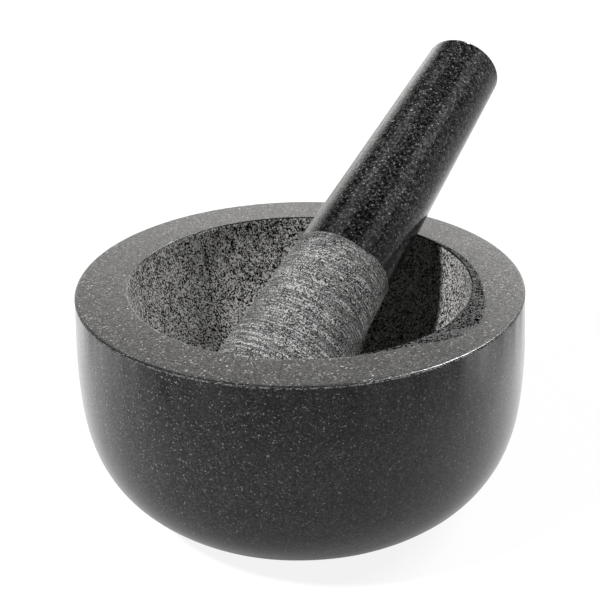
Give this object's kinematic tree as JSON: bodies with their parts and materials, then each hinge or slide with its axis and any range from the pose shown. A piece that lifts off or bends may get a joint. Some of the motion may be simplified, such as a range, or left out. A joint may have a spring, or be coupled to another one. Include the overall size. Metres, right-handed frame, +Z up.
{
  "type": "mortar and pestle",
  "caption": "Turned stone mortar with a flat rim, round belly and flat foot, and a club-shaped pestle leaning in its bowl, for crushing and grinding.",
  "frame": {"origin": "centre of the mortar's flat foot, on the plane it rests on", "axes": "+Z up along the mortar's turning axis, front towards -Y; the pestle leans back and to +X"},
  "size_m": [0.1439, 0.1652, 0.1307],
  "materials": {
    "mortar_granite": "polished side, satin rim, rough bowl",
    "pestle_granite": "polished shaft, rough-turned head"
  },
  "bodies": {
    "mortar": {"mortar": "mortar_granite"},
    "pestle": {"pestle": "pestle_granite"}
  },
  "joints": [
    {"name": "pestle_lift", "type": "slide", "parent": "mortar", "child": "pestle", "axis": [0, 0, 1], "range_m": [0, 0.1]}
  ]
}
